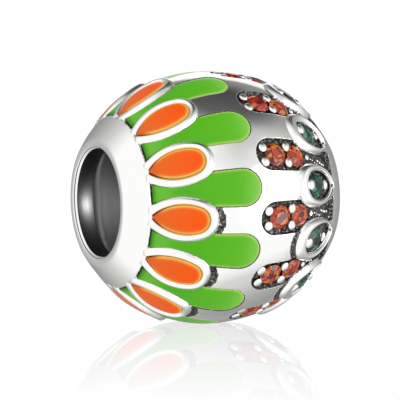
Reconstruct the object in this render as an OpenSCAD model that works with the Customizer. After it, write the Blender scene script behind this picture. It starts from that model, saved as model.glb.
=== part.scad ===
// Large-hole bead charm: a hollow cast silver barrel with a ring of enamelled
// petals round one mouth and a ring of stone settings round the other.
// The bore runs along X, with the petals at the -X end. Millimetres, +Z up.

/* [Barrel] */
// Diameter of the bead at its widest, between the two rings of ornament
barrel_d = 10.54; // [10.3:0.02:10.8]
// Length of the bead from mouth to mouth
barrel_len = 10.0; // [9.9:0.05:10.1]
// Radius of the curve that the side of the barrel follows from end to end
side_curve_r = 6.07; // [6.0:0.01:6.15]
// Diameter of the bore that the bracelet or cord passes through
bore_d = 4.5; // [4.3:0.05:4.6]
// Thickness of the cast wall
wall = 0.95; // [0.9:0.01:1.0]
// Rounding of the outer edge of each mouth
lip_round = 0.30; // [0.2:0.01:0.35]
// Distance of the ornament's two border rings from the middle of the bead
border_x = 4.20; // [4.1:0.01:4.25]
// Turn of the whole ornament about the bore, counted from the underside
ornament_turn = 0; // [0:0.1:29.9]

/* [Orange petals] */
// Height of a petal's silver rim above the barrel at its round end
rim_rise = 0.17; // [0.1:0.01:0.2]
// Radius of the round end of the rim
rim_round_r = 0.86; // [0.8:0.01:0.9]
// Radius of the round end of the enamel inside the rim
orange_round_r = 0.53; // [0.5:0.01:0.56]
// Depth of the enamel cell below the barrel's own surface
orange_cell_depth = 0.15; // [0.1:0.01:0.25]
// How far the orange enamel stays below the top of its rim
orange_sink = 0.06; // [0.03:0.01:0.1]

/* [Green petals] */
// Radius of the round end of a green petal
green_round_r = 0.80; // [0.74:0.01:0.84]
// Where the round end stops, measured along the bore from the middle
green_end_x = 0.16; // [0:0.01:0.2]
// Depth of the green cell
green_cell_depth = 0.30; // [0.2:0.01:0.35]
// How far the green enamel stands over the silver round it
green_rise = 0.02; // [0:0.01:0.03]

/* [Orange stones] */
// Girdle radius of the orange stone nearer the middle of the bead
first_stone_r = 0.51; // [0.46:0.01:0.51]
// Girdle radius of the orange stone beyond it
second_stone_r = 0.48; // [0.44:0.01:0.48]
// Radius of the round end of the sunk field that holds a pair of them
field_round_r = 0.72; // [0.68:0.01:0.72]
// Depth of that field
field_depth = 0.18; // [0.16:0.01:0.22]
// Radius of the grains that hold the stones
grain_r = 0.16; // [0.14:0.01:0.16]

/* [Green stones] */
// Girdle radius of the green stones
green_stone_r = 0.50; // [0.42:0.01:0.52]
// Radius of the round end of the raised drop-shaped collet
collet_round_r = 0.92; // [0.86:0.01:0.94]
// Radius of the round end of the opening in the collet
collet_open_r = 0.54; // [0.52:0.01:0.58]
// Height of the collet above the barrel at its round end
collet_rise = 0.17; // [0.1:0.01:0.2]

/* [Hidden] */
repeats = 12;
step_angle = 360 / repeats;
half_len = barrel_len / 2;
bore_r = bore_d / 2;
side_offset = side_curve_r - barrel_d / 2;
lip_bevel = 0.08;
round_steps = 10;
side_steps = 3;

// Clearance round an inlay, as a share of its outline, and under it
inlay_share = 0.03;
inlay_gap = 0.015;

// Places of the stones and grains, along the bore from the middle of the bead
stone_x = [1.07, 2.14];
stone_r = [first_stone_r, second_stone_r];
stone_depth = field_depth - 0.04;
green_stone_x = 3.00;
seat_gap = 0.02;
seat_foot = 0.15;

// Each row is one grain of a field: place along the bore, place across, radius
// and height of its centre over the barrel. Those next to the widest part end
// level with the barrel's side, so that the bead doesn't tip over them.
field_grains = [
    [0.45, 0.33, grain_r, -0.15], [0.45, -0.33, grain_r, -0.15],
    [1.64, 0.36, grain_r, -0.09], [1.64, -0.36, grain_r, -0.09],
    [2.80, 0.00, 0.75 * grain_r, -0.10]
];
GRAIN_X = 0;
GRAIN_Y = 1;
GRAIN_R = 2;
GRAIN_Z = 3;

// The two prongs of a collet, along the bore from the middle of its stone: one
// grows from the collet's wall and the other stands on the floor
wall_prong_u = -0.53;
wall_prong_r = 0.12;
wall_prong_z = 0.14;
floor_prong_u = 0.68;
floor_prong_r = 0.13;
floor_prong_z = 0.09;
prong_post_r = 0.08;

// Where the rims and collets reach their full rise, and how deep they root
rim_full_x = -1.9;
rim_start_rise = 0.01;
collet_full_x = 2.0;
collet_start_rise = 0.06;
root_depth = 0.40;
block_below = 1.0;
block_above = 0.45;

// Middles of the flat frames in which the outlines are drawn, along the bore
petal_x = -3.0;
green_x = -2.0;
field_x = 2.0;
collet_x = 3.1;

// Centres of the outlines' round ends in those frames, and radii of their bowed
// sides; the enamel's point stays a little inside the end of its rim
rim_round_u = 0.52;
rim_bow = 2.6;
orange_tip_in = 0.06;
orange_round_u = 0.48;
orange_bow = 2.0;
green_bow = 40;
field_start_x = 0.09;
field_end_x = 4.27;
field_bow = 40;
collet_round_u = 0.33;
collet_tip_u = -1.42;
collet_bow = 2.2;
open_round_u = 0.12;
open_tip_u = -1.30;
open_bow = 1.4;

// Half-widths of the outlines' square ends
border_half = 0.50;
collet_tip_half = 0.22;

// Proportions of a round cut, each a share of its girdle radius: the table and
// the crown, the middle of a kite, the girdle, and the pavilion's lower halves
table_share = 0.56;
crown_share = 0.30;
kite_share = 0.80;
kite_rise = 0.55;
girdle_share = 0.04;
pavilion_share = 0.84;
lower_share = 0.36;
lower_drop = 0.62;

// Colours
silver = [0.80, 0.80, 0.80];
orange = [0.96, 0.37, 0.10];
leaf_green = [0.33, 0.70, 0.14];
fire_orange = [0.85, 0.23, 0.04];
emerald = [0.05, 0.35, 0.22];

function named(stem, k) = str(stem, k < 10 ? "_0" : "_", k);

STEMS = ["orange_petal", "green_petal", "orange_stones", "green_stone"];

// Radius of the barrel, or of the same curve lifted off it, at a place along the bore
function barrel_r(x, lift = 0) = sqrt(pow(side_curve_r + lift, 2) - x * x) - side_offset;
function slope(x) = asin(x / side_curve_r);

// Distance along the flat of frame x0 to the barrel's surface at place x
function along(x, x0) = (x - x0) * cos(slope(x0)) - (barrel_r(x) - barrel_r(x0)) * sin(slope(x0));

function arc_points(centre, r, from, to, steps) =
    [for (i = [0 : steps]) let (a = from + (to - from) * i / steps) centre + r * [cos(a), sin(a)]];

// Outline of a petal: a round end of radius r at u_round, sides bowed outwards
// with radius bow, and an end at u_tip that is a point or half_tip wide each way.
function petal_outline(r, u_round, u_tip, bow, half_tip = 0) =
    let (
        d = [u_tip - u_round, half_tip],
        lean = atan2(d[1], d[0]),
        share = (bow * bow - pow(bow - r, 2) - d * d) / (2 * (bow - r) * norm(d)),
        meet = lean - acos(share),
        centre = [u_round, 0] - (bow - r) * [cos(meet), sin(meet)],
        tip_angle = atan2(half_tip - centre[1], u_tip - centre[0]),
        round_end = arc_points([u_round, 0], r, -meet, meet, round_steps),
        side = arc_points(centre, bow, meet, tip_angle, side_steps),
        first = half_tip > 0 ? side_steps : side_steps - 1
    )
    concat(round_end,
           [for (i = [1 : side_steps]) side[i]],
           [for (i = [first : -1 : 1]) [side[i][0], -side[i][1]]]);

function flipped(points) = [for (p = points) [-p[0], p[1]]];

rim_outline = petal_outline(rim_round_r, rim_round_u, along(-border_x, petal_x), rim_bow, border_half);
orange_outline = petal_outline(orange_round_r, orange_round_u, along(orange_tip_in - border_x, petal_x),
                               orange_bow);
green_outline = petal_outline(green_round_r, along(green_end_x, green_x) - green_round_r,
                              along(-border_x, green_x), green_bow, border_half);
field_outline = flipped(petal_outline(field_round_r, -along(field_start_x, field_x) - field_round_r,
                                      -along(field_end_x, field_x), field_bow, border_half));
collet_outline = flipped(petal_outline(collet_round_r, collet_round_u, collet_tip_u, collet_bow,
                                       collet_tip_half));
open_outline = flipped(petal_outline(collet_open_r, open_round_u, open_tip_u, open_bow));

// Circle through three points, as [centre, radius]
function circle_through(a, b, c) =
    let (
        ab = b - a,
        ac = c - a,
        twice = 2 * (ab[0] * ac[1] - ab[1] * ac[0]),
        centre = a + [ac[1] * (ab * ab) - ab[1] * (ac * ac), ab[0] * (ac * ac) - ac[0] * (ab * ab)] / twice
    )
    [centre, norm(a - centre)];

// A curve that leaves the barrel just past the border ring and stands clear of it
// by rise at x_full: the top of a rim and of a collet, seen from the side.
function crown_curve(x_full, rise, start_rise) =
    let (
        x_start = sign(x_full) * (border_x + 0.1),
        x_mid = (x_start + x_full) / 2
    )
    circle_through([barrel_r(x_start, start_rise), x_start],
                   [barrel_r(x_mid, 0.8 * rise + 0.2 * start_rise), x_mid],
                   [barrel_r(x_full, rise), x_full]);

// The barrel's side as a turned solid, sunk below the outside by depth
module barrel(depth, length) {
    rotate_extrude($fn = 96)
        intersection() {
            translate([-side_offset, 0])
                circle(r = side_curve_r - depth, $fn = 180);
            translate([0, -length / 2])
                square([side_curve_r, length]);
        }
}

// The same side near one meridian, as a ball that keeps to it within 0.01 mm
module near_side(depth) {
    translate([-side_offset, 0, 0])
        sphere(r = side_curve_r - depth, $fn = 180);
}

// Ball whose meridian is the crown curve
module near_crown(x_full, rise, start_rise) {
    curve = crown_curve(x_full, rise, start_rise);
    translate([curve[0][0], 0, curve[0][1]])
        sphere(r = curve[1], $fn = 180);
}

// Puts children on the barrel at place x: Z is outwards and X runs towards the stones
module on_barrel(x) {
    translate([barrel_r(x), 0, x])
        rotate([0, 90 - slope(x), 0])
            rotate([0, 0, 180])
                children();
}

// Children at every sector, on the petals' and fields' line or half a step past it
module ring_of(turn = 0) {
    for (k = [0 : repeats - 1])
        rotate([0, 0, turn + k * step_angle])
            children();
}

// A straight-sided block of an outline, from below the barrel's surface to above it
module block(x, points) {
    on_barrel(x)
        translate([0, 0, -block_below])
            linear_extrude(height = block_below + block_above)
                polygon(points);
}

// The mouth's rounded outer edge, as a turned section that caps the barrel
module lip() {
    overlap = 0.4;
    centre = [barrel_r(half_len - lip_round, -lip_round), half_len - lip_round];
    touch = asin(centre[1] / (side_curve_r - lip_round));
    edge = arc_points(centre, lip_round, touch, 90, 5);
    rotate_extrude($fn = 96)
        polygon(concat([[bore_r - overlap, edge[0][1] - overlap], [edge[0][0], edge[0][1] - overlap]],
                       edge, [[bore_r - overlap, half_len]]));
}

// The plain barrel: lips, a straight bore behind each mouth, and the hollow between
module plain_shell() {
    cap_x = (half_len - lip_round) * side_curve_r / (side_curve_r - lip_round);
    difference() {
        union() {
            barrel(0, 2 * cap_x);
            lip();
            mirror([0, 0, 1])
                lip();
        }
        cylinder(h = barrel_len + 1, r = bore_r, center = true, $fn = 96);
        barrel(wall, barrel_len - wall);
        for (side = [0, 1])
            mirror([0, 0, side])
                translate([0, 0, half_len - lip_bevel])
                    cylinder(h = 2 * lip_bevel, r1 = bore_r, r2 = bore_r + 2 * lip_bevel, $fn = 96);
    }
}

// A sunk cell of one outline
module cell(x, points, depth) {
    difference() {
        block(x, points);
        near_side(depth);
    }
}

// Raised silver of one orange petal, down into the wall below the green cells
module petal_rim() {
    difference() {
        intersection() {
            block(petal_x, rim_outline);
            near_crown(rim_full_x, rim_rise, rim_start_rise);
        }
        near_side(root_depth);
    }
}

// Raised drop-shaped collet of one green stone
module collet() {
    difference() {
        intersection() {
            block(collet_x, collet_outline);
            near_crown(collet_full_x, collet_rise, collet_start_rise);
        }
        near_side(root_depth);
    }
}

// Drilled seat for the pavilion of a stone whose girdle lies at the given depth
module seat(x, r, depth) {
    high = pavilion_share * r + seat_gap;
    on_barrel(x)
        translate([0, 0, -depth - high])
            cylinder(h = high, r1 = seat_foot * r, r2 = r + seat_gap, $fn = 48);
}

module grain(row) {
    on_barrel(row[GRAIN_X])
        translate([0, row[GRAIN_Y], row[GRAIN_Z]])
            sphere(r = row[GRAIN_R], $fn = 32);
}

// Prongs over both ends of a green stone
module collet_prongs() {
    on_barrel(green_stone_x) {
        translate([wall_prong_u, 0, wall_prong_z])
            sphere(r = wall_prong_r, $fn = 32);
        translate([floor_prong_u, 0, floor_prong_z])
            sphere(r = floor_prong_r, $fn = 32);
        translate([floor_prong_u, 0, -root_depth])
            cylinder(h = root_depth + floor_prong_z, r = prong_post_r, $fn = 24);
    }
}

// The casting: shell with its sunk cells, raised rims and collets, drilled
// seats and the grains raised over the stones
module silver_body() {
    color(silver)
        placed(1)
            union() {
                difference() {
                    union() {
                        difference() {
                            plain_shell();
                            ring_of(step_angle / 2)
                                cell(green_x, green_outline, green_cell_depth);
                            ring_of()
                                cell(field_x, field_outline, field_depth);
                        }
                        ring_of()
                            petal_rim();
                        ring_of(step_angle / 2)
                            collet();
                    }
                    ring_of()
                        cell(petal_x, orange_outline, orange_cell_depth);
                    ring_of(step_angle / 2)
                        cell(collet_x, open_outline, field_depth);
                    ring_of()
                        for (i = [0 : 1])
                            seat(stone_x[i], stone_r[i], stone_depth);
                    ring_of(step_angle / 2)
                        seat(green_stone_x, green_stone_r, 0);
                }
                ring_of()
                    for (row = field_grains)
                        grain(row);
                ring_of(step_angle / 2)
                    collet_prongs();
            }
}

// Enamel poured into an orange petal's cell
module orange_petal(k) {
    color(orange)
        placed(k)
            difference() {
                intersection() {
                    block(petal_x, orange_outline * (1 - inlay_share));
                    near_crown(rim_full_x, rim_rise - orange_sink, 0);
                }
                near_side(orange_cell_depth - inlay_gap);
            }
}

// Enamel poured between the rims and on over the barrel, up to the round end
module green_petal(k) {
    color(leaf_green)
        placed(k + 0.5)
            difference() {
                intersection() {
                    block(green_x, green_outline * (1 - inlay_share));
                    near_side(-green_rise);
                }
                near_side(green_cell_depth - inlay_gap);
                for (side = [-1, 1])
                    rotate([0, 0, side * step_angle / 2])
                        block(petal_x, rim_outline * (1 + inlay_share));
            }
}

// Turns a piece made along X into its sector k round the bore
module placed(k) {
    rotate([0, 90, 0])
        rotate([0, 0, ornament_turn + (k - 1) * step_angle])
            children();
}

function cut_ring(count, share, height, turn = 0) =
    [for (i = [0 : count - 1]) let (a = turn + i * 360 / count) [share * cos(a), share * sin(a), height]];

// Round cut: a table, a crown of star, kite and upper facets, a girdle of
// sixteen sides, and a pavilion of main and lower facets.
module round_cut(r) {
    points = concat(
        cut_ring(8, table_share, girdle_share + crown_share),
        cut_ring(8, kite_share, girdle_share + kite_rise * crown_share, 22.5),
        cut_ring(16, 1, girdle_share),
        cut_ring(16, 1, 0),
        cut_ring(8, lower_share, -lower_drop * pavilion_share),
        [[0, 0, -pavilion_share]]
    );
    table = 0;
    kite = 8;
    upper = 16;
    lower = 32;
    deep = 48;
    culet = 56;
    faces = concat(
        [[for (i = [7 : -1 : 0]) table + i]],
        [for (i = [0 : 7]) [table + i, table + (i + 1) % 8, kite + i]],
        [for (i = [0 : 7]) [table + i, kite + i, upper + 2 * i]],
        [for (i = [0 : 7]) [table + i, upper + 2 * i, kite + (i + 7) % 8]],
        [for (i = [0 : 7]) [kite + i, upper + 2 * i + 1, upper + 2 * i]],
        [for (i = [0 : 7]) [kite + i, upper + (2 * i + 2) % 16, upper + 2 * i + 1]],
        [for (i = [0 : 15]) [upper + i, upper + (i + 1) % 16, lower + (i + 1) % 16, lower + i]],
        [for (i = [0 : 7]) [lower + 2 * i, lower + 2 * i + 1, deep + i]],
        [for (i = [0 : 7]) [lower + 2 * i + 1, lower + (2 * i + 2) % 16, deep + (i + 1) % 8]],
        [for (i = [0 : 7]) [lower + 2 * i + 1, deep + (i + 1) % 8, deep + i]],
        [for (i = [0 : 7]) [deep + i, deep + (i + 1) % 8, culet]]
    );
    polyhedron(points = r * points, faces = faces);
}

// A stone with the middle of its girdle at the given depth below the barrel
module set_stone(x, r, depth) {
    on_barrel(x)
        translate([0, 0, -depth - girdle_share * r / 2])
            round_cut(r);
}

// The pair of stones of one field
module orange_stones(k) {
    color(fire_orange)
        placed(k)
            for (i = [0 : 1])
                set_stone(stone_x[i], stone_r[i], stone_depth);
}

module green_stone(k) {
    color(emerald)
        placed(k + 0.5)
            set_stone(green_stone_x, green_stone_r, 0);
}

silver_body();
for (k = [1 : repeats]) {
    orange_petal(k);
    green_petal(k);
    orange_stones(k);
    green_stone(k);
}
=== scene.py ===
import math
import random

import bmesh
import bpy
import numpy as np
from mathutils import Matrix, Vector


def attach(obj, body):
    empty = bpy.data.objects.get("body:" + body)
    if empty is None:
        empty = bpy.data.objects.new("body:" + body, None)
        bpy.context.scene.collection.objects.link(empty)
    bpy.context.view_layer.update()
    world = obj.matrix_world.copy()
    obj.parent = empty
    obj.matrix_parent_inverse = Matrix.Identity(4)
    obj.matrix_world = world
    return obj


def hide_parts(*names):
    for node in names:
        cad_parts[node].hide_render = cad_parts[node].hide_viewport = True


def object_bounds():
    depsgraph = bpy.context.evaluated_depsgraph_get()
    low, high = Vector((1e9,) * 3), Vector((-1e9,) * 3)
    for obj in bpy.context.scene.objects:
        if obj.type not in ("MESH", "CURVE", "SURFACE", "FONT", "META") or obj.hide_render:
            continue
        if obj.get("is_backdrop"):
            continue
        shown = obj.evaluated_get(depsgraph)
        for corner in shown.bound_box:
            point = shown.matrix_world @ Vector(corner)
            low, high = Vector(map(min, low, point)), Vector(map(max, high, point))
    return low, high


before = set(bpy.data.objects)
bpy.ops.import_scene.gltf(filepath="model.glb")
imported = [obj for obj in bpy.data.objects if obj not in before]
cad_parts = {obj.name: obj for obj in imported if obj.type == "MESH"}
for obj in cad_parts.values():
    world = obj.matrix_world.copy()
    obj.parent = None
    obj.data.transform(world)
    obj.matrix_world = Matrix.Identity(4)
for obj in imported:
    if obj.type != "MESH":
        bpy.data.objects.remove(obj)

cad_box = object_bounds()

# Studio: white walls, one soft box on the right, a dark ceiling panel, dim behind the bead, and a
# pale glossy floor that it lies on. A long lens looks from the photograph's angle, and two small
# lamps light the bore.
MM = 0.001
PICTURE = 400  # pixels on a side
PIXEL = 1 / 23.9  # millimetres of the bead that a pixel covers
SHIFT_RIGHT = -5.2 * PIXEL
SHIFT_UP = -2.6 * PIXEL
DISTANCE = 350
scene = bpy.context.scene
scene.view_settings.view_transform = "Standard"

azimuth = math.radians(-25.5)
elevation = math.radians(10.25)
roll = math.radians(2.0)
level = Vector((math.cos(azimuth), math.sin(azimuth), 0))
forward = Vector((math.sin(azimuth), -math.cos(azimuth), 0))
back = forward * math.cos(elevation) + Vector((0, 0, math.sin(elevation)))
right = Matrix.Rotation(roll, 3, back) @ level
up = back.cross(right)
target = right * SHIFT_RIGHT + up * SHIFT_UP
camera_data = bpy.data.cameras.new("camera")
camera_data.sensor_width = 36
camera_data.lens = camera_data.sensor_width * DISTANCE / (PICTURE * PIXEL)
camera_data.clip_start = 0.01
camera_data.clip_end = 10
camera = bpy.data.objects.new("camera", camera_data)
camera.location = (target + back * DISTANCE) * MM
camera.rotation_euler = Matrix((right, up, back)).transposed().to_euler()
scene.collection.objects.link(camera)
scene.camera = camera


def feed(tree, term, socket):
    """Feeds an input of a node with another node's output, or sets it to a plain value or colour."""
    if isinstance(term, bpy.types.NodeSocket):
        tree.links.new(term, socket)
    elif socket.type == "RGBA":
        socket.default_value = (*term, 1)
    else:
        socket.default_value = term


def maths(tree, kind, operation, *terms):
    """Outputs of a maths node fed with terms in the order of its inputs, None for an unused one."""
    node = tree.nodes.new("ShaderNode" + kind)
    node.operation = operation
    for term, socket in zip(terms, node.inputs):
        if term is not None:
            feed(tree, term, socket)
    return node.outputs


def map_range(tree, value, start, end, low=0, high=1, blend="LINEAR"):
    """Turns a value's place between start and end into one between low and high."""
    node = tree.nodes.new("ShaderNodeMapRange")
    node.interpolation_type = blend
    feed(tree, value, node.inputs["Value"])
    for name, term in (("From Min", start), ("From Max", end), ("To Min", low), ("To Max", high)):
        feed(tree, term, node.inputs[name])
    return node.outputs[0]


def mix_colours(tree, factor, first, second):
    """Mixes two colours by factor."""
    node = tree.nodes.new("ShaderNodeMix")
    node.data_type = "RGBA"
    for place, term in ((0, factor), (6, first), (7, second)):
        feed(tree, term, node.inputs[place])
    return node.outputs[2]


def ramp(tree, factor, stops, blend="LINEAR"):
    """A colour ramp fed by factor, with (place, colour) stops."""
    node = tree.nodes.new("ShaderNodeValToRGB")
    node.color_ramp.interpolation = blend
    elements = node.color_ramp.elements
    elements[0].position = stops[0][0]
    elements[1].position = stops[-1][0]
    for place, colour in stops[1:-1]:
        elements.new(place)
    for element, (place, colour) in zip(elements, stops):
        element.color = (*colour, 1)
    feed(tree, factor, node.inputs[0])
    return node.outputs[0]


def new_group(name, given, result):
    """A node group with named inputs and outputs, what comes in through it and what goes out."""
    group = bpy.data.node_groups.new(name, "ShaderNodeTree")
    for way, sockets in (("INPUT", given), ("OUTPUT", result)):
        for socket, kind in sockets.items():
            group.interface.new_socket(socket, in_out=way, socket_type="NodeSocket" + kind)
    return group, group.nodes.new("NodeGroupInput").outputs, group.nodes.new("NodeGroupOutput").inputs


def new_material(name):
    """A material with its node tree and shader."""
    material = bpy.data.materials.new(name)
    material.use_nodes = True
    return material, material.node_tree, material.node_tree.nodes["Principled BSDF"]


def toward(rise, side):
    """Unit vector at angles above and to the right of the line to the camera."""
    rise, side = math.radians(rise), math.radians(side)
    return right * math.sin(side) + (back * math.cos(rise) + up * math.sin(rise)) * math.cos(side)


def studio_group():
    """Node group: the studio in a direction, as surfaces mirror it and, evened out, as it lights them."""
    box_strength = 2.5  # times white
    group, given, result = new_group("studio_brightness", {"Direction": "Vector"},
                                     {"Mirrored": "Color", "Even": "Color"})
    unit = maths(group, "VectorMath", "NORMALIZE", given["Direction"])[0]

    def region(axis, stops):
        """Brightness round an axis, with stops by the cosine of the angle to it."""
        dot = maths(group, "VectorMath", "DOT_PRODUCT", unit, axis)["Value"]
        return ramp(group, dot, [(place, (v, v, v)) for place, v in stops])

    def join(how, first, second):
        """Combines two brightnesses."""
        return maths(group, "VectorMath", how, first, second)[0]

    behind = region(toward(174, 0), [(0.0, 1.05), (0.17, 0.91), (0.30, 0.78), (0.42, 0.66), (0.54, 0.59),
                                     (0.66, 0.50), (0.79, 0.42), (0.88, 0.36), (0.96, 0.31)])
    ceiling = region(toward(102, 12), [(0.62, 1.0), (0.71, 0.80), (0.80, 0.68), (0.865, 0.50), (0.90, 0.33),
                                       (0.94, 0.18), (0.97, 0.12)])
    gap = region(toward(49, 30), [(0.80, 1.0), (0.90, 0.97), (0.955, 0.85), (0.985, 0.78), (1.0, 0.68)])
    ground = region(toward(-116, 20), [(0.766, 1.0), (0.848, 0.86), (0.906, 0.68), (1.0, 0.64)])
    sweep = region(toward(156, 1), [(0.950, 0.0), (0.980, 1.1)])
    box = region(toward(-4, 62), [(0.86, 0.0), (0.97, 1.0)])
    walls = join("MULTIPLY", join("MULTIPLY", behind, ceiling), join("MULTIPLY", gap, ground))
    lamp = maths(group, "VectorMath", "SCALE", box, None, None, box_strength)[0]
    feed(group, join("ADD", join("MAXIMUM", walls, sweep), lamp), result["Mirrored"])
    feed(group, region(toward(0, 10), [(0.0, 0.80), (0.5, 0.96), (1.0, 1.06)]), result["Even"])
    return group


def camera_sees(tree, others, seen, output):
    """Gives camera rays one shader and all other rays another."""
    mix = tree.nodes.new("ShaderNodeMixShader")
    feed(tree, tree.nodes.new("ShaderNodeLightPath").outputs["Is Camera Ray"], mix.inputs[0])
    feed(tree, others, mix.inputs[1])
    feed(tree, seen, mix.inputs[2])
    feed(tree, mix.outputs[0], tree.nodes.new(output).inputs["Surface"])


world = bpy.data.worlds.new("studio")
world.use_nodes = True
scene.world = world
tree = world.node_tree
tree.nodes.clear()
studio = tree.nodes.new("ShaderNodeGroup")
studio.node_tree = studio_group()
feed(tree, tree.nodes.new("ShaderNodeTexCoord").outputs["Generated"], studio.inputs["Direction"])
diffuse = tree.nodes.new("ShaderNodeLightPath").outputs["Is Diffuse Ray"]
brightness = mix_colours(tree, diffuse, studio.outputs["Mirrored"], studio.outputs["Even"])
light = tree.nodes.new("ShaderNodeBackground")
feed(tree, brightness, light.inputs["Color"])
backdrop = tree.nodes.new("ShaderNodeBackground")
backdrop.inputs["Color"].default_value = (1, 1, 1, 1)
camera_sees(tree, light.outputs[0], backdrop.outputs[0], "ShaderNodeOutputWorld")

# The camera sees the floor white, with a mirror image that fades to the front. The bead gets an
# even light from it, and the silver doesn't mirror it.
FLOOR_Z = -5.295
FLOOR_REACH = 900
FLOOR_LIGHT = 0.85
MIRROR_SHARE = 0.30
MIRROR_FADE = 17
bm = bmesh.new()
bmesh.ops.create_grid(bm, x_segments=1, y_segments=1, size=FLOOR_REACH * MM)
bmesh.ops.translate(bm, vec=(0, 0, FLOOR_Z * MM), verts=bm.verts)
floor_mesh = bpy.data.meshes.new("floor")
bm.to_mesh(floor_mesh)
bm.free()
floor = bpy.data.objects.new("floor", floor_mesh)
scene.collection.objects.link(floor)
floor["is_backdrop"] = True
paint, tree = new_material("pale_floor")[:2]
tree.nodes.clear()
place = tree.nodes.new("ShaderNodeTexCoord").outputs["Object"]
front = maths(tree, "VectorMath", "DOT_PRODUCT", place, forward)["Value"]
white = tree.nodes.new("ShaderNodeEmission")
shine = tree.nodes.new("ShaderNodeBsdfGlossy")
shine.inputs["Color"].default_value = (1, 1, 1, 1)
shine.inputs["Roughness"].default_value = 0.03
mirror = tree.nodes.new("ShaderNodeMixShader")
feed(tree, map_range(tree, front, 0, MIRROR_FADE * MM, low=MIRROR_SHARE, high=0), mirror.inputs[0])
feed(tree, white.outputs[0], mirror.inputs[1])
feed(tree, shine.outputs[0], mirror.inputs[2])
glow = tree.nodes.new("ShaderNodeEmission")
glow.inputs["Color"].default_value = (FLOOR_LIGHT, FLOOR_LIGHT, FLOOR_LIGHT, 1)
camera_sees(tree, glow.outputs[0], mirror.outputs[0], "ShaderNodeOutputMaterial")
floor_mesh.materials.append(paint)
floor.visible_glossy = False

# The lamps in the bore: place, what they point at, watts, width and height.
LAMPS = (("bore_lamp", (-2.0, -2.85, 0.85), (-3.9, 2.4, -0.5), 1.6e-3, 2.2, 0.6),
         ("hollow_lamp", (-0.2, 3.35, -0.75), (-4.0, 3.0, -0.7), 1.7e-5, 1.3, 0.5))
for name, source, aim, power, wide, high in LAMPS:
    lamp_data = bpy.data.lights.new(name, "AREA")
    lamp_data.shape = "RECTANGLE"
    lamp_data.size = wide * MM
    lamp_data.size_y = high * MM
    lamp_data.energy = power
    lamp = bpy.data.objects.new(name, lamp_data)
    lamp.location = Vector(source) * MM
    lamp.rotation_euler = (Vector(aim) - Vector(source)).to_track_quat("-Z", "Y").to_euler()
    lamp.visible_camera = False
    scene.collection.objects.link(lamp)


# Silver barrel: the casting's plain side, lips, bore and inner hollow, with the sunk cells for the
# enamel and the sunk fields for the stones. It is polished outside and dark with oxide in the
# fields, and the bore is painted nearly black as painted shade.
SIDE_R = 6.07  # of the arc that the side follows, whose centre lies SIDE_OFFSET past the bore's axis
SIDE_OFFSET = 0.80
SIDE_DEGREES = 54.54  # of that arc from the belly to a lip
SIDE_ROWS = 100  # of faces from lip to lip
BORDER_X = 4.20
FIELD_END_X = 4.27
BORE_R = 2.25
WALL = 0.95
REPEATS = 12
STEP = 2 * math.pi / REPEATS
PETAL_LINE = 0  # angle of the line that runs through a petal and a field
GREEN_LINE = STEP / 2  # angle of the line that runs through a green cell and a collet
ALONG_FLIPPED = [-1, 1]
ACROSS_FLIPPED = [1, -1]


def barrel_radius(x, lift=0.0):
    """Distance from the bore's axis to the barrel's side, or to the same curve lifted off it."""
    return np.sqrt((SIDE_R + lift) ** 2 - np.square(x)) - SIDE_OFFSET


def half_outline(r, u_round, u_tip, bow, half_tip=0.0):
    """Half of a petal's outline, from the top of its round end of radius r down a bowed side to the tip."""
    steps = 24
    step = np.array([u_tip - u_round, half_tip])
    gap = bow - r
    share = (bow * bow - gap * gap - step @ step) / (2 * gap * np.linalg.norm(step))
    meet = math.atan2(step[1], step[0]) - math.acos(share)
    centre = np.array([u_round - gap * math.cos(meet), -gap * math.sin(meet)])
    tip = math.atan2(half_tip - centre[1], u_tip - centre[0])
    a = np.linspace(0, meet, steps + 1)
    b = np.linspace(meet, tip, steps + 1)[1:]
    return np.vstack([np.column_stack([u_round + r * np.cos(a), r * np.sin(a)]),
                      np.column_stack([centre[0] + bow * np.cos(b), centre[1] + bow * np.sin(b)])])


def flat_place(x, a, x0):
    """Where the barrel's point at x and angle a lies in the flat frame that touches it at x0."""
    lean = math.asin(x0 / SIDE_R)
    r = barrel_radius(x)
    out = r * np.cos(a) - barrel_radius(x0)
    return (x - x0) * math.cos(lean) - out * math.sin(lean), r * np.sin(a)


def outline_distance(u, v, half):
    """Distance to the closed outline of two mirrored halves, negative inside it."""
    off_middle = 1e-6
    loop = np.vstack([half, half[::-1] * ACROSS_FLIPPED])
    p = np.column_stack([u, np.abs(v) + off_middle])
    best = np.full(len(p), np.inf)
    inside = np.zeros(len(p), bool)
    for q0, q1 in zip(loop, np.roll(loop, -1, axis=0)):
        edge = q1 - q0
        length = math.hypot(*edge)
        if length < off_middle:
            continue
        t = np.clip(((p - q0) @ edge) / (edge @ edge), 0, 1)
        best = np.minimum(best, np.hypot(*(p - q0 - t[:, None] * edge).T))
        if q0[1] != q1[1]:
            crosses = (q0[1] > p[:, 1]) != (q1[1] > p[:, 1])
            inside ^= crosses & (p[:, 0] < q0[0] + (p[:, 1] - q0[1]) * edge[0] / edge[1])
    return np.where(inside, -best, best)


def border_u(x, x0):
    """Where the border ring at x crosses the middle of the flat frame at x0."""
    return float(flat_place(np.array([x]), np.array([0.0]), x0)[0][0])


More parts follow.
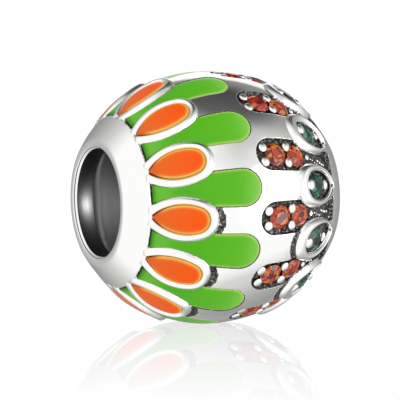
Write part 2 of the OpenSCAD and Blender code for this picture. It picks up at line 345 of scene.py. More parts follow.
PETAL_X = -3.0
GREEN_X = -2.0
GREEN_END_X = 0.16
GREEN_R = 0.80
FIELD_START_X = 0.09
FIELD_X = 2.0
FIELD_R = 0.72
COLLET_X = 3.1
RIM_ROUND = 0.52
COLLET_ROUND = 0.33
TIP_GAP = 0.06
rim_half = half_outline(r=0.86, u_round=RIM_ROUND, u_tip=border_u(-BORDER_X, PETAL_X), bow=2.6, half_tip=0.50)
orange_half = half_outline(r=0.53, u_round=0.48, u_tip=border_u(TIP_GAP - BORDER_X, PETAL_X), bow=2.0)
green_half = half_outline(r=GREEN_R, u_round=border_u(GREEN_END_X, GREEN_X) - GREEN_R,
                          u_tip=border_u(-BORDER_X, GREEN_X), bow=40, half_tip=0.50)
field_half = half_outline(r=FIELD_R, u_round=-border_u(FIELD_START_X, FIELD_X) - FIELD_R,
                          u_tip=-border_u(FIELD_END_X, FIELD_X), bow=40, half_tip=0.50) * ALONG_FLIPPED
collet_half = half_outline(r=0.92, u_round=COLLET_ROUND, u_tip=-1.42, bow=2.2, half_tip=0.22) * ALONG_FLIPPED
open_half = half_outline(r=0.54, u_round=0.12, u_tip=-1.30, bow=1.4, half_tip=0.02) * ALONG_FLIPPED
OUTLINES = {
    "rim": (rim_half, PETAL_X, PETAL_LINE),
    "orange": (orange_half, PETAL_X, PETAL_LINE),
    "green": (green_half, GREEN_X, GREEN_LINE),
    "field": (field_half, FIELD_X, PETAL_LINE),
    "collet": (collet_half, COLLET_X, GREEN_LINE),
    "open": (open_half, COLLET_X, GREEN_LINE),
}


def ease(t):
    """Smooth step from 0 to 1."""
    t = np.clip(t, 0, 1)
    return t * t * (3 - 2 * t)


def distances(x, a):
    """Distances of barrel points to all outlines, with a counted from a petal's line."""
    return {name: outline_distance(*flat_place(x, a - line, x0), half)
            for name, (half, x0, line) in OUTLINES.items()}


# Depth of the cells with a sloping side and the slope's width, depth of the plain ones and how far
# they run out under their rim, and for each seat its place, line, stone, gap and depth at the edge.
SLOPING_CELLS = (("green", 0.15, 0.05), ("field", 0.18, 0.045))
PLAIN_CELLS = (("orange", 0.12, 0.06), ("open", 0.18, 0.08))
GREEN_STONE_X = 3.00
SEATS = ((1.07, PETAL_LINE, 0.51, 0.02, 0.17), (2.14, PETAL_LINE, 0.48, 0.02, 0.17),
         (GREEN_STONE_X, GREEN_LINE, 0.50, 0, 0.04))
SEAT_SLOPE = 0.88


def barrel_lift(x, a, d):
    """Height of the casting over the plain barrel, without the rims and collets."""
    depth = np.zeros_like(x)
    for name, deep, slope in SLOPING_CELLS:
        depth = np.maximum(depth, deep * ease(-d[name] / slope))
    for name, deep, under in PLAIN_CELLS:
        depth = np.maximum(depth, deep * (d[name] < under))
    for x0, line, r, gap, deep in SEATS:
        out = np.hypot(*flat_place(x, a - line, x0))
        depth = np.maximum(depth, np.where(out < r + gap, deep + SEAT_SLOPE * (r - out), 0))
    return -depth


def side_angle(p):
    """Angle from the belly, on the side's own circle, of place p along the section."""
    return (p - SIDE_ROWS / 2) / (SIDE_ROWS / 2) * np.radians(SIDE_DEGREES)


LIP_X = 4.7
LIP_R = 2.547
LIP_ROUND = 0.3
HOLLOW_X = 4.10


def meridian():
    """The casting's closed section as (x, r) points: the side, and then one mouth, the bore and the other."""
    outer_round = 0.006
    inner_round = 0.012
    s = np.linspace(-1, 1, SIDE_ROWS + 1) * np.radians(SIDE_DEGREES)
    outer = np.column_stack([SIDE_R * np.sin(s), SIDE_R * np.cos(s) - SIDE_OFFSET])
    a = np.radians(np.linspace(SIDE_DEGREES, 90, 6))[1:]
    mouth = np.column_stack([LIP_X + LIP_ROUND * np.sin(a), LIP_R + LIP_ROUND * np.cos(a)])
    step = np.array([[5.0, 2.46], [4.997, 2.39], [4.985, 2.35], [4.972, 2.335], [4.93, 2.33], [4.925, 2.32]])
    land = np.array([[4.88, BORE_R + outer_round], [4.87, BORE_R], [4.45, BORE_R], [4.16, BORE_R],
                     [4.13, BORE_R + inner_round]])
    x = np.linspace(HOLLOW_X, -HOLLOW_X, 15)
    hollow = np.column_stack([x, np.sqrt((SIDE_R - WALL) ** 2 - x * x) - SIDE_OFFSET])
    half = np.vstack([mouth, step, land])
    return np.vstack([outer, half, hollow, half[::-1] * ALONG_FLIPPED, outer[:1]])


def barrel_points(p, a, lift, section):
    """Points of the casting at place p along its section and angle a, with the side lifted."""
    rows = np.arange(len(section))
    side = p <= SIDE_ROWS
    s = side_angle(p)
    x = np.where(side, (SIDE_R + lift) * np.sin(s), np.interp(p, rows, section[:, 0]))
    r = np.where(side, (SIDE_R + lift) * np.cos(s) - SIDE_OFFSET, np.interp(p, rows, section[:, 1]))
    return np.column_stack([x, r * np.sin(a), -r * np.cos(a)]) * MM


def turn(bm, verts, angle, axis="X"):
    """Turns vertices about an axis through the middle of the bore."""
    bmesh.ops.rotate(bm, verts=verts, cent=(0, 0, 0), matrix=Matrix.Rotation(angle, 3, axis))


def ring_of_copies(bm):
    """Repeats what is in bm, made about the underside, at all twelve sectors."""
    first = bm.verts[:] + bm.edges[:] + bm.faces[:]
    for k in range(1, REPEATS):
        made = bmesh.ops.duplicate(bm, geom=first)
        turn(bm, [g for g in made["geom"] if isinstance(g, bmesh.types.BMVert)], k * STEP)


SAME_POINT = 1e-7


def piece(bm, name, material, replaced=(), merge=SAME_POINT):
    """Makes a finished piece of the object from bm, with normals outwards and smooth faces."""
    bmesh.ops.remove_doubles(bm, verts=bm.verts, dist=merge)
    bmesh.ops.recalc_face_normals(bm, faces=bm.faces)
    for face in bm.faces:
        face.smooth = True
    mesh = bpy.data.meshes.new(name)
    bm.to_mesh(mesh)
    bm.free()
    mesh.materials.append(material)
    made = bpy.data.objects.new(name, mesh)
    scene.collection.objects.link(made)
    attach(made, "root")
    if replaced:
        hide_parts(*replaced)
    return made


def noise(tree, vector, scale, detail=2, roughness=0.5):
    """Noise texture over a vector."""
    node = tree.nodes.new("ShaderNodeTexNoise")
    for name, term in (("Vector", vector), ("Scale", scale), ("Detail", detail), ("Roughness", roughness)):
        feed(tree, term, node.inputs[name])
    return node.outputs["Fac"]


def oxide_group():
    """Node group: silver that a mask turns to dark grainy oxide. Puts out colour, roughness and normal."""
    bright = (0.93, 0.925, 0.915)
    soot = [(0.36, (0.018, 0.017, 0.016)), (0.50, (0.060, 0.058, 0.055)), (0.60, (0.19, 0.185, 0.18)),
            (0.70, (0.55, 0.54, 0.53))]
    group, given, result = new_group("oxidised_silver", {"Mask": "Float", "Grain": "Float"},
                                     {"Color": "Color", "Roughness": "Float", "Normal": "Vector"})
    place = group.nodes.new("ShaderNodeTexCoord").outputs["Object"]
    grain = noise(group, place, scale=9000, detail=3, roughness=0.6)
    centred = maths(group, "Math", "SUBTRACT", grain, 0.5)[0]
    uneven = maths(group, "Math", "MULTIPLY", centred, given["Grain"])[0]
    dirty = maths(group, "Math", "ADD", given["Mask"], uneven)[0]
    cover = map_range(group, dirty, 0.30, 0.62, blend="SMOOTHSTEP")
    feed(group, mix_colours(group, cover, bright, ramp(group, grain, soot)), result["Color"])
    feed(group, map_range(group, cover, 0, 1, low=0.07, high=0.36), result["Roughness"])
    bump = group.nodes.new("ShaderNodeBump")
    bump.inputs["Strength"].default_value = 1.0
    bump.inputs["Distance"].default_value = 0.09 * MM
    feed(group, maths(group, "Math", "MULTIPLY", grain, cover)[0], bump.inputs["Height"])
    feed(group, bump.outputs[0], result["Normal"])
    return group


oxidised = oxide_group()


def silver_finish(name, grain):
    """Polished silver with dark oxide where the piece's own oxide attribute says so."""
    material, tree, shader = new_material(name)
    shader.inputs["Metallic"].default_value = 1
    mask = tree.nodes.new("ShaderNodeAttribute")
    mask.attribute_name = "oxide"
    group = tree.nodes.new("ShaderNodeGroup")
    group.node_tree = oxidised
    group.inputs["Grain"].default_value = grain
    feed(tree, mask.outputs["Fac"], group.inputs["Mask"])
    feed(tree, group.outputs["Color"], shader.inputs["Base Color"])
    feed(tree, group.outputs["Roughness"], shader.inputs["Roughness"])
    feed(tree, group.outputs["Normal"], shader.inputs["Normal"])
    return material


LAND_FROM = 4.05
LAND_FADE = 0.10


def bore_painted_shade():
    """Silver of the bore painted nearly black as painted shade, with fine turned lines round it, darkest on
    the lands.
    """
    hollow_shade_grey = (0.03, 0.03, 0.03)
    land_shade_grey = (0.025, 0.025, 0.025)
    material, tree, shader = new_material("bore_painted_shade_silver")
    shader.inputs["Metallic"].default_value = 1
    place = tree.nodes.new("ShaderNodeTexCoord").outputs["Object"]
    turned = tree.nodes.new("ShaderNodeMapping")
    turned.inputs["Scale"].default_value = (9000, 300, 300)  # to the metre, along and across the bore
    feed(tree, place, turned.inputs["Vector"])
    lines = noise(tree, turned.outputs[0], scale=1)
    split = tree.nodes.new("ShaderNodeSeparateXYZ")
    feed(tree, place, split.inputs[0])
    from_middle = maths(tree, "Math", "ABSOLUTE", split.outputs["X"])[0]
    on_land = map_range(tree, from_middle, LAND_FROM * MM, (LAND_FROM + LAND_FADE) * MM)
    feed(tree, ramp(tree, on_land, [(0, hollow_shade_grey), (1, land_shade_grey)], "EASE"), shader.inputs["Base Color"])
    feed(tree, map_range(tree, lines, 0.3, 0.7, low=0.38, high=0.44), shader.inputs["Roughness"])
    return material


silver = silver_finish("polished_silver", grain=0.7)

# The casting starts as a flat grid: rows along its section, and columns from a petal's line to a
# green one's.
section = meridian()
rows = len(section) - 1
columns = 12
bm = bmesh.new()
bmesh.ops.create_grid(bm, x_segments=rows, y_segments=columns, size=0.5)
for vert in bm.verts:
    vert.co.x = round((vert.co.x + 0.5) * rows, 4)
    vert.co.y = round((vert.co.y + 0.5) * columns, 4)


def grid_places(bm):
    """Places along the section and angles of the flat grid's vertices."""
    co = np.array([v.co for v in bm.verts])
    return co[:, 0], co[:, 1] / columns * STEP / 2


def side_x(p):
    """Place along the bore of the side's point p."""
    return SIDE_R * np.sin(side_angle(np.clip(p, 0, SIDE_ROWS)))


FAR = 9


def crisp(d):
    """How far a point is from the nearest edge that shows in the plain barrel."""
    near = np.where(d["rim"] > -0.05, np.abs(d["green"]), FAR)
    return np.minimum(near, np.where(d["collet"] > -0.05, np.abs(d["field"]), FAR))


# The grid is made finer twice: near the edges and round the dark patches beside the rims and
# collets, and then at the edges alone.
COARSE = 0.102
FINE = 0.038
PATCH_END = 0.12
BEYOND_RIMS = -1.9
BEFORE_COLLETS = 2.3
for reach in (COARSE, FINE):
    p, a = grid_places(bm)
    x = side_x(p)
    d = distances(x, a)
    near = crisp(d)
    if reach == COARSE:
        near_patches = np.minimum(np.where(x > BEYOND_RIMS, d["rim"], FAR),
                             np.where(x < BEFORE_COLLETS, d["collet"], FAR))
        near = np.minimum.reduce([near, d["field"] + 0.1, np.abs(near_patches - PATCH_END)])
    near = np.where(p <= SIDE_ROWS, near, FAR)
    bm.verts.index_update()
    picked = set()
    for face in bm.faces:
        if min(near[v.index] for v in face.verts) < reach:
            picked.update(face.edges)
    bmesh.ops.subdivide_edges(bm, edges=list(picked), cuts=1, use_grid_fill=True)

# Rows of the section with the bore's near-black painted shade: the step in each mouth, and all between the
# lands.
SHADED_ROWS = ((109, 110), (113, 135), (138, 139))
p, a = grid_places(bm)
side = p <= SIDE_ROWS
bm.verts.index_update()
for face in bm.faces:
    middle = sum(p[v.index] for v in face.verts) / len(face.verts)
    if any(first < middle < last for first, last in SHADED_ROWS):
        face.material_index = 1

# Points close to a cell's edge move onto it, down the slope of their distance to it.
SNAP = 0.014
SLOPE_ROWS = 0.02
SLOPE_TURN = 0.004
ROW_MM = 0.1155  # a row of faces, on the side
TURN_MM = 5  # a radian, near the belly
ON_SEAM = 1e-4
NOT_FLAT = 1e-9
CELLS_END = 4.6
squash = (ROW_MM / TURN_MM) ** 2
d = distances(side_x(p), a)
snap = side & (crisp(d) < SNAP) & (a > ON_SEAM) & (a < STEP / 2 - ON_SEAM)
for name in ("green", "field"):
    here = snap & (np.abs(d[name]) < SNAP)
    slope_p = (distances(side_x(p[here] + SLOPE_ROWS), a[here])[name] - d[name][here]) / SLOPE_ROWS
    slope_a = (distances(side_x(p[here]), a[here] + SLOPE_TURN)[name] - d[name][here]) / SLOPE_TURN
    steep = slope_p ** 2 + slope_a ** 2 * squash + NOT_FLAT
    p[here] -= d[name][here] * slope_p / steep
    a[here] -= d[name][here] * slope_a * squash / steep
a = np.clip(a, 0, STEP / 2)
x = side_x(p)
d = distances(x, a)
lift = np.where(side & (np.abs(x) < CELLS_END), barrel_lift(x, a, d), 0)


def facing(u, v):
    """How squarely a place lies in the direction of +u."""
    return np.clip(np.cos(np.arctan2(v, u)), 0, 1)


# Oxide is dark in the stones' fields, at the narrow ends of the green cells, in a fine line along
# the green enamel, and under the open collets. A dark crescent lies round each rim's round end and
# a softer dark patch beside each collet's foot.
FIELD_EDGE = 0.022
END_EDGE = 0.03
END_X = -4.0
LINE_WIDE = 0.022
LINE_X = -2.6
CRESCENT_WIDE = 0.30
CRESCENT_EDGE = 0.05
FOOT_WIDE = 0.42
FOOT_EDGE = 0.25
in_field = ease((0.010 - d["field"]) / FIELD_EDGE) * (d["collet"] > -0.02)
narrow_end = 0.9 * ease(-d["green"] / END_EDGE) * (x < END_X)
line = 0.85 * np.exp(-np.square(d["green"] / LINE_WIDE)) * (d["rim"] > 0.03) * (x > LINE_X)
opening = (d["open"] < 0.10) * 1.0
u, v = flat_place(x, a, PETAL_X)
crescent = ease((CRESCENT_WIDE * facing(u - RIM_ROUND, v) ** 0.6 - d["rim"]) / CRESCENT_EDGE)
crescent *= (d["rim"] > -0.1) * (d["green"] > 0.03)
u, v = flat_place(x, a - GREEN_LINE, COLLET_X)
foot = ease((FOOT_WIDE * facing(-COLLET_ROUND - u, v) ** 0.7 - d["collet"]) / FOOT_EDGE)
foot *= (d["collet"] > -0.1) * (d["field"] > 0.03)
oxide = np.where(side, np.maximum.reduce([in_field, narrow_end, line, opening]), 0)
dark_patch = np.where(side, np.maximum(crescent, foot), 0)
layer = bm.verts.layers.float.new("oxide")
low = bm.verts.layers.float.new("dark_patch")
for vert, co, mark, patch_mark in zip(bm.verts, barrel_points(p, a, lift, section), oxide, dark_patch):
    vert.co = co
    vert[layer] = mark
    vert[low] = patch_mark

# Half a sector is mirrored and repeated, and the dark crescents and patches are kept to the lower side alone.
LOW_SIDE = 0.38  # height, as a share of the radius, up to which the dark patches reach
LOW_FADE = 0.5
bmesh.ops.remove_doubles(bm, verts=bm.verts, dist=SAME_POINT)
half = bm.verts[:] + bm.edges[:] + bm.faces[:]
made = bmesh.ops.duplicate(bm, geom=half)
mirrored = [g for g in made["geom"] if isinstance(g, bmesh.types.BMVert)]
bmesh.ops.scale(bm, vec=(1, -1, 1), verts=mirrored)
bmesh.ops.remove_doubles(bm, verts=bm.verts, dist=SAME_POINT)
ring_of_copies(bm)
for vert in bm.verts:
    if vert[low] > 0:
        height = vert.co.z / math.hypot(vert.co.y, vert.co.z)
        vert[layer] = max(vert[layer], vert[low] * float(ease((LOW_SIDE - height) / LOW_FADE)))
barrel = piece(bm, "silver_barrel", silver, ["silver_body"], 2 * SAME_POINT)
# The bore's faces take the near-black silver that paints the shade inside the bore.
barrel.data.materials.append(bore_painted_shade())


# Raised rims of the orange petals and collets of the green stones: part of the same casting,
# rounded on top by polishing and rooted in the barrel's wall, with some oxide low on their sides.
RISE = 0.17
RIM_CLEAR_X = -1.9
COLLET_CLEAR_X = 2.0
EDGE_POINTS = 7
EDGE_CURVE = 1.8
EDGE_SHARE = 0.45  # most of the band's width that one rounded edge takes
CROWN = 0.004
OUTER_GRIME = 0.4
ROOT_GRIME = 0.8
GRIME_FROM = 0.6  # share of the edge's height, down from the top, that stays bright
SINK = 0.25
SINK_WIDE = 0.12


def circle_through(a, b, c):
    """Centre and radius of the circle through three points."""
    ab, ac = b - a, c - a
    twice = 2 * (ab[0] * ac[1] - ab[1] * ac[0])
    ab2, ac2 = ab @ ab, ac @ ac
    centre = a + np.array([ac[1] * ab2 - ab[1] * ac2, ab[0] * ac2 - ac[0] * ab2]) / twice
    return centre, np.linalg.norm(a - centre)


def crown_lift(x, x_full, rise, start_rise):
    """Height over the barrel of an arc from start_rise beyond a border ring to rise at x_full."""
    x_start = math.copysign(BORDER_X + 0.1, x_full)
    x_mid = (x_start + x_full) / 2
    mid_rise = 0.8 * rise + 0.2 * start_rise
    places = ((x_start, start_rise), (x_mid, mid_rise), (x_full, rise))
    centre, radius = circle_through(*(np.array([barrel_radius(q, high), q]) for q, high in places))
    top = centre[0] + np.sqrt(radius ** 2 - (x - centre[1]) ** 2)
    return np.hypot(top + SIDE_OFFSET, x) - SIDE_R


def on_barrel(u, v, lift, x0):
    """Points at lift over the barrel above the flat places (u, v) of the frame that touches it at x0."""
    lean = math.asin(x0 / SIDE_R)
    z = np.sqrt((SIDE_R + lift) ** 2 - u ** 2 - v ** 2) - SIDE_R
    x = x0 + u * math.cos(lean) + z * math.sin(lean)
    out = barrel_radius(x0) - u * math.sin(lean) + z * math.cos(lean)
    a = np.arctan2(v, out)
    r = np.hypot(v, out)
    miss = lift - (np.hypot(r + SIDE_OFFSET, x) - SIDE_R)
    r = r + miss * (r + SIDE_OFFSET) / (SIDE_R + lift)
    x = x + miss * x / (SIDE_R + lift)
    return np.stack([x, r * np.sin(a), -r * np.cos(a)], axis=-1)


def swept_ring(outer, inner, x0, crown, edge_wide, edge_high, root, x_sink, inner_grime):
    """A rounded band between two outlines, as a closed tube in a new bmesh, with its oxide attribute.

    Its top follows crown and falls by edge_high over edge_wide at both sides. It stands in the
    wall down to root, and sinks where it passes x_sink.
    """
    t = np.linspace(0, 1, EDGE_POINTS)
    wide = np.linalg.norm(outer - inner, axis=1)[:, None]
    reach = np.minimum(edge_wide, EDGE_SHARE * wide)
    ends = np.zeros_like(wide)
    across = np.hstack([ends, reach * t, wide / 2, (wide - reach * t)[:, ::-1], wide, ends]) / wide
    fall = edge_high * (1 - t) ** EDGE_CURVE
    drop = np.concatenate([fall, [-CROWN], fall[::-1]])
    u = outer[:, :1] + (inner - outer)[:, :1] * across
    v = outer[:, 1:] + (inner - outer)[:, 1:] * across
    lean = math.asin(x0 / SIDE_R)
    x = x0 + u * math.cos(lean) + (np.sqrt(SIDE_R ** 2 - u ** 2 - v ** 2) - SIDE_R) * math.sin(lean)
    top = crown(x)
    lift = np.full_like(u, root)
    lift[:, 1:-2] = np.maximum(top[:, 1:-2] - drop, root)
    lift = lift - SINK * ease((np.abs(x) - x_sink) / SINK_WIDE)
    points = on_barrel(u, v, lift, x0)
    stations, turns = u.shape
    bm = bmesh.new()
    bmesh.ops.create_grid(bm, x_segments=stations - 1, y_segments=turns - 1, size=0.5)
    layer = bm.verts.layers.float.new("oxide")
    worn = np.clip((drop / edge_high - GRIME_FROM) / (1 - GRIME_FROM), 0, 1)
    outside, inside = worn[:EDGE_POINTS + 1], worn[EDGE_POINTS + 1:]
    grime = np.concatenate([[ROOT_GRIME], OUTER_GRIME * outside, inner_grime * inside,
                            [max(inner_grime, ROOT_GRIME), ROOT_GRIME]])
    for vert in bm.verts:
        i = round((vert.co.x + 0.5) * (stations - 1))
        j = round((vert.co.y + 0.5) * (turns - 1))
        vert.co = Vector(points[i, j]) * MM
        vert[layer] = grime[j]
    bmesh.ops.remove_doubles(bm, verts=bm.verts, dist=SAME_POINT / 10)
    bmesh.ops.holes_fill(bm, edges=[e for e in bm.edges if e.is_boundary], sides=0)
    return bm


def both_sides(half):
    """The whole outline of two mirrored halves, from tip to tip round the round end."""
    return np.vstack([half[::-1], half[1:] * ACROSS_FLIPPED])


def rim_crown(x):
    """Height of the rims' tops over the barrel."""
    return crown_lift(x, RIM_CLEAR_X, RISE, 0.01)


def collet_crown(x):
    """Height of the collets' tops over the barrel."""
    return crown_lift(x, COLLET_CLEAR_X, RISE, 0.06)


LEAST_HALF = 0.012  # the rims' inner sides stay this far from a petal's line
TAIL = np.array([[-0.12, 0.0]])  # each end of a rim runs on under the border ring
rim_outer = both_sides(rim_half)
rim_inner = both_sides(np.vstack([orange_half[:1], np.maximum(orange_half[1:], [-9, LEAST_HALF])]))
rim_outer = np.vstack([rim_outer[:1] + TAIL, rim_outer, rim_outer[-1:] + TAIL])
rim_inner = np.vstack([rim_inner[:1] + TAIL, rim_inner, rim_inner[-1:] + TAIL])
bm = swept_ring(rim_outer, rim_inner, PETAL_X, rim_crown, edge_wide=0.16, edge_high=0.14, root=-0.25,
                x_sink=4.25, inner_grime=0.25)
ring_of_copies(bm)
piece(bm, "petal_rims", silver_finish("rim_silver", grain=0.1))


def closed_tip(outline, half_wide):
    """An outline from tip to tip with its two ends joined by a short flat across the tip."""
    middle = np.array([[outline[0, 0], 0.0]])
    corner = np.array([[0, half_wide]])
    return np.vstack([middle, middle + corner, outline, middle - corner, middle])


collet_outer = closed_tip(both_sides(collet_half), 0.11)
collet_inner = closed_tip(both_sides(open_half), 0.01)
bm = swept_ring(collet_outer, collet_inner, COLLET_X, collet_crown, edge_wide=0.19, edge_high=0.20,
                root=-0.22, x_sink=4.3, inner_grime=1.0)
turn(bm, bm.verts, GREEN_LINE)
ring_of_copies(bm)
piece(bm, "stone_collets", silver)


# Grains and prongs: beads of silver raised from the casting and pushed over the edges of the
# stones, polished flat on top. Finer crumbs of silver are left at the end of each field.
def grain(bm, x0, u, v, lift, size):
    """One oval grain at (u, v) of the frame at x0, with half-sizes along the bore, across and high."""
    made = bmesh.ops.create_uvsphere(bm, u_segments=20, v_segments=12, radius=1)
    verts = made["verts"]
    at = on_barrel(np.array([u]), np.array([v]), np.array([lift]), x0)[0]
    bmesh.ops.scale(bm, vec=size, verts=verts)
    turn(bm, verts, math.pi)
    turn(bm, verts, -math.asin(at[0] / SIDE_R), "Y")
    turn(bm, verts, math.atan2(at[1], -at[2]))
    bmesh.ops.translate(bm, vec=Vector(at), verts=verts)


# A pair of grains before the first stone of a field and a pair between the two, a single grain
# behind them, and crumbs on to the field's end.
GRAIN_PAIRS = ((0.50, 0.32, -0.10, (0.21, 0.215, 0.11)), (1.64, 0.35, -0.06, (0.19, 0.215, 0.13)))
CRUMBS = 8
CRUMB_X = 3.05
CRUMB_STEP = 0.125
bm = bmesh.new()
bm.verts.layers.float.new("oxide")
for x0, aside, lift, size in GRAIN_PAIRS:
    grain(bm, x0, 0, aside, lift, size)
    grain(bm, x0, 0, -aside, lift, size)
grain(bm, 2.78, 0, 0, -0.12, (0.11, 0.12, 0.10))
chance = random.Random(3)
for i in range(CRUMBS):
    along = chance.uniform(0.03, 0.06)
    aside = chance.uniform(-0.18, 0.18)
    across = chance.uniform(0.03, 0.07)
    grain(bm, CRUMB_X + CRUMB_STEP * i, 0, aside, -0.17, (along, across, 0.05))
bmesh.ops.scale(bm, vec=(MM, MM, MM), verts=bm.verts)
ring_of_copies(bm)
piece(bm, "field_grains", silver)

bm = bmesh.new()
bm.verts.layers.float.new("oxide")
grain(bm, GREEN_STONE_X, -0.43, 0, 0.10, (0.21, 0.23, 0.11))
grain(bm, GREEN_STONE_X, 0.58, 0, 0.07, (0.13, 0.21, 0.11))
bmesh.ops.scale(bm, vec=(MM, MM, MM), verts=bm.verts)
turn(bm, bm.verts, GREEN_LINE)
ring_of_copies(bm)
piece(bm, "collet_prongs", silver)


# Orange enamel: fired glass poured into each raised petal, slightly crowned, and
# thinner and paler where it climbs the rim. A painted highlight runs along its edge, and
# painted shade darkens its tip.
# Marks that colour the enamel: how far along it a place lies, where the glass is thin and pale (on the green
# partly a painted highlight too), a painted highlight along its edge, and painted shade.
MARKS = ("along", "thin_and_sheen", "edge", "shade")


def enamel_finish(name, narrow, wide, thin_and_sheen, edge, shade):
    """Glossy fired enamel, coloured from its narrow end to its wide one, and by its marks, among them a
    painted highlight along its edge and painted shade.
    """
    cloudiness = 0.3
    material, tree, shader = new_material(name)
    shader.inputs["Roughness"].default_value = 0.12
    shader.inputs["IOR"].default_value = 1.2
    marks = {}
    for mark in MARKS:
        node = tree.nodes.new("ShaderNodeAttribute")
        node.attribute_name = mark
        marks[mark] = node.outputs["Fac"]
    cloud = noise(tree, tree.nodes.new("ShaderNodeTexCoord").outputs["Object"], scale=700)
    drift = maths(tree, "Math", "MULTIPLY_ADD", cloud, cloudiness, marks["along"])[0]
    colour = ramp(tree, drift, [(0.15, narrow), (1.0, wide)])
    for mark, other in (("thin_and_sheen", thin_and_sheen), ("edge", edge), ("shade", shade)):
        colour = mix_colours(tree, marks[mark], colour, other)
    feed(tree, colour, shader.inputs["Base Color"])
    return material


def poured(half, spine, lift, x0, bottom):
    """Enamel within an outline, as a bmesh: rings run from the outline in to the spine, over a skirt."""
    rings = (0, 0.02, 0.05, 0.09, 0.15, 0.25, 0.4, 0.6, 0.8, 1)
    loop = np.vstack([half, half[-2:0:-1] * ACROSS_FLIPPED])
    inward = np.column_stack([np.clip(loop[:, 0], *spine), np.zeros(len(loop))]) - loop
    far = np.linalg.norm(inward, axis=1)
    bm = bmesh.new()
    around, inwards = len(loop), len(rings)
    bmesh.ops.create_grid(bm, x_segments=around, y_segments=inwards, size=0.5)
    layers = [bm.verts.layers.float.new(mark) for mark in MARKS]
    for vert in bm.verts:
        i = round((vert.co.x + 0.5) * around) % around
        j = round((vert.co.y + 0.5) * inwards)
        share = rings[max(j - 1, 0)]
        u, v = loop[i] + inward[i] * share
        deep = share * far[i] if share < 1 else far.max()
        high, *marks = lift(u, v, deep) if j else (bottom, 0, 0, 0, 1)
        vert.co = Vector(on_barrel(np.array([u]), np.array([v]), np.array([high]), x0)[0]) * MM
        for layer, mark in zip(layers, marks):
            vert[layer] = mark
    bmesh.ops.remove_doubles(bm, verts=bm.verts, dist=SAME_POINT)
    bmesh.ops.holes_fill(bm, edges=[e for e in bm.edges if e.is_boundary], sides=0)
    return bm


def crowned(deep, crown, dip, dip_wide):
    """Rise of poured glass at a depth from its outline: a crown inwards, and a dip at the wall."""
    crown_wide = 0.12
    return crown * (1 - math.exp(-deep / crown_wide)) - dip * math.exp(-deep / dip_wide)


def edge_highlight(deep):
    """How strongly the painted highlight along the glass's outline shows at a depth from it."""
    edge_wide = 0.07
    return math.exp(-(deep / edge_wide) ** 2)


ORANGE_RISE = 0.11
ORANGE_FROM = -1.2
ORANGE_LONG = 2.2
ORANGE_TIP = -0.75
TIP_FADE = 0.5
ORANGE_SPINE = (-0.82, 0.45)
ORANGE_BOTTOM = -0.10


def orange_lift(u, v, deep):
    """Height of the orange enamel at one place, and its marks: how far along, how thin, a painted highlight
    at the edge, and painted shade at the tip.
    """
    x = PETAL_X + u * math.cos(math.asin(PETAL_X / SIDE_R))
    high = float(crown_lift(np.array([x]), RIM_CLEAR_X, ORANGE_RISE, 0.0)[0])
    high += crowned(deep, crown=0.03, dip=0.04, dip_wide=0.02)
    tip = float(ease((ORANGE_TIP - u) / TIP_FADE))
    along = min(1, max(0, (u - ORANGE_FROM) / ORANGE_LONG))
    thin_and_sheen = 0.5 * math.exp(-deep / 0.1)
    # Painted shade darkens the tip, most near its outline.
    shade = 0.4 * tip * math.exp(-deep / 0.05) + 0.1 * tip
    return high, along, thin_and_sheen, edge_highlight(deep) * (1 - tip), shade


# Colours from the narrow end to the wide, then for thin glass, the painted edge highlight and the painted
# shade.
orange = enamel_finish("orange_enamel", narrow=(0.86, 0.155, 0.020), wide=(0.99, 0.105, 0.003),
                       thin_and_sheen=(1.0, 0.22, 0.025), edge=(1.0, 0.60, 0.12), shade=(0.16, 0.035, 0.008))
for k in range(REPEATS):
    bm = poured(orange_half, ORANGE_SPINE, orange_lift, PETAL_X, ORANGE_BOTTOM)
    turn(bm, bm.verts, k * STEP)
    piece(bm, f"orange_enamel_{k + 1:02d}", orange, [f"orange_petal_{k + 1:02d}"])


# Green enamel: fired glass that fills the sunk cells between the petals, and runs on over the
# barrel to a round end, nearly flush with the silver.
UNDER_RIM = 0.012
START_IN = 0.10


def green_outline():
    """Half outline of the green that shows, with 1 for its own round end and 0 for a rim beside it."""
    points = on_barrel(rim_half[:, 0], rim_half[:, 1], np.zeros(len(rim_half)), PETAL_X)
    a = np.arctan2(points[:, 1], -points[:, 2]) - GREEN_LINE
    u, v = flat_place(points[:, 0], a, GREEN_X)
    rim_u, rim_v = u[::-1], UNDER_RIM - v[::-1]
    own_u, own_v = green_half[::-1, 0], green_half[::-1, 1]
    own = [(q, w, 1) for q, w in zip(own_u, own_v) if w < np.interp(q, rim_u, rim_v, right=FAR)]
    beside = [(q, w, 0) for q, w in zip(rim_u, rim_v) if w < np.interp(q, own_u, own_v)]
    start = own_u[0] + START_IN
    first = float(np.interp(start, rim_u, rim_v))
    inner = [(start, first * f, 0) for f in (0.0, 0.33, 0.66, 1.0)]
    rows = inner + sorted(r for r in own + beside if r[0] > start + 0.01)
    return np.array(rows[::-1])


green_rows = green_outline()
GREEN_FROM = green_rows[-1, 0]
GREEN_TO = green_rows[0, 0]
GREEN_SPINE = (GREEN_FROM + 0.2, GREEN_TO - 0.8)
GREEN_BOTTOM = -0.14
GREEN_SUNK = 0.02
GREEN_LONG = 3.5
START_FADE = 0.25


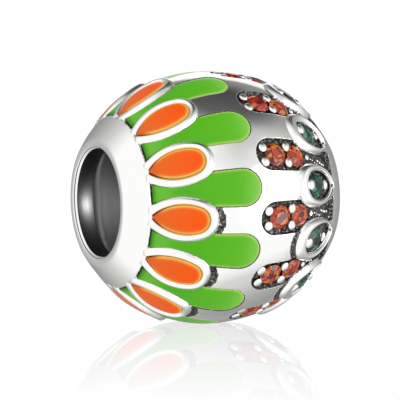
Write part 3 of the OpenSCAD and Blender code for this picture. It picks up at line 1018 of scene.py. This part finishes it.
def green_lift(u, v, deep):
    """Height of the green enamel at one place, and its marks: how far along, how thin and pale, a painted
    highlight at the edge, and painted shade.
    """
    own = float(np.interp(u, green_rows[::-1, 0], green_rows[::-1, 2]))
    high = crowned(deep, crown=0.035, dip=0.05, dip_wide=0.018) - GREEN_SUNK
    start = float(ease((GREEN_FROM + START_FADE - u) / START_FADE))
    far = GREEN_TO - u
    # Paler near both ends: partly thinner glass, partly a painted highlight.
    thin_and_sheen = 0.75 * math.exp(-(far / 0.55) ** 2) + 0.35 * math.exp(-((u - GREEN_FROM - 0.4) / 0.45) ** 2)
    # The painted highlight is strongest round the green's own round end and fades at its start.
    edge = edge_highlight(deep) * (0.2 + 0.8 * own) * (1 - start)
    # Painted shade at the green's start by the border ring, and along the rims beside it.
    shade = 0.5 * start + 0.5 * (1 - own) * math.exp(-deep / 0.03)
    return high, min(1, far / GREEN_LONG), thin_and_sheen, edge, shade


# Colours from the narrow end to the wide, then for pale glass, the painted edge highlight and the painted
# shade.
green = enamel_finish("green_enamel", narrow=(0.13, 0.52, 0.022), wide=(0.085, 0.47, 0.012),
                      thin_and_sheen=(0.25, 0.66, 0.09), edge=(0.70, 0.82, 0.24), shade=(0.015, 0.07, 0.008))
for k in range(REPEATS):
    bm = poured(green_rows[:, :2], GREEN_SPINE, green_lift, GREEN_X, GREEN_BOTTOM)
    turn(bm, bm.verts, (k + 0.5) * STEP)
    piece(bm, f"green_enamel_{k + 1:02d}", green, [f"green_petal_{k + 1:02d}"])


# Stones: round cut zirconia in orange and emerald green, set into the casting. They are clear
# enough to show the darkened seat, and their colour is painted in darker and brighter spots as painted
# sparkle.
def stone_finish(name, colours, index):
    """Clear coloured stone, with painted sparkle: darker and brighter spots of its colour that shift from
    facet to facet.
    """
    patches = 3800  # to the metre
    by_facet = 3  # how far the patches shift from facet to facet
    material, tree, shader = new_material(name)
    shader.inputs["Roughness"].default_value = 0.0
    shader.inputs["IOR"].default_value = index
    shader.inputs["Transmission Weight"].default_value = 0.4
    place = tree.nodes.new("ShaderNodeTexCoord").outputs
    tilt = maths(tree, "VectorMath", "SCALE", place["Normal"], None, None, by_facet)[0]
    spread = maths(tree, "VectorMath", "MULTIPLY_ADD", place["Object"], (patches, patches, patches), tilt)[0]
    sparkle_cells = tree.nodes.new("ShaderNodeTexVoronoi")
    sparkle_cells.inputs["Scale"].default_value = 1
    feed(tree, spread, sparkle_cells.inputs["Vector"])
    split = tree.nodes.new("ShaderNodeSeparateXYZ")
    feed(tree, sparkle_cells.outputs["Color"], split.inputs[0])
    stops = [(0.1 + 0.8 * i / (len(colours) - 1), colour) for i, colour in enumerate(colours)]
    feed(tree, ramp(tree, split.outputs[0], stops), shader.inputs["Base Color"])
    return material


# Colours of the painted sparkle, from darkest to brightest.
ORANGE_SPARKLE = [(0.16, 0.003, 0.001), (0.48, 0.014, 0.001), (0.85, 0.055, 0.003), (1.0, 0.38, 0.03)]
GREEN_SPARKLE = [(0.0, 0.012, 0.007), (0.002, 0.035, 0.02), (0.006, 0.09, 0.05), (0.05, 0.34, 0.20)]
orange_glass = stone_finish("orange_stone", ORANGE_SPARKLE, index=1.6)
green_glass = stone_finish("green_stone", GREEN_SPARKLE, index=1.5)
for k in range(1, REPEATS + 1):
    for name, material in ((f"orange_stones_{k:02d}", orange_glass), (f"green_stone_{k:02d}", green_glass)):
        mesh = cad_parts[name].data
        mesh.materials.clear()
        mesh.materials.append(material)


size = {"cad": [list(c) for c in cad_box], "visual": [list(c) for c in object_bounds()]}
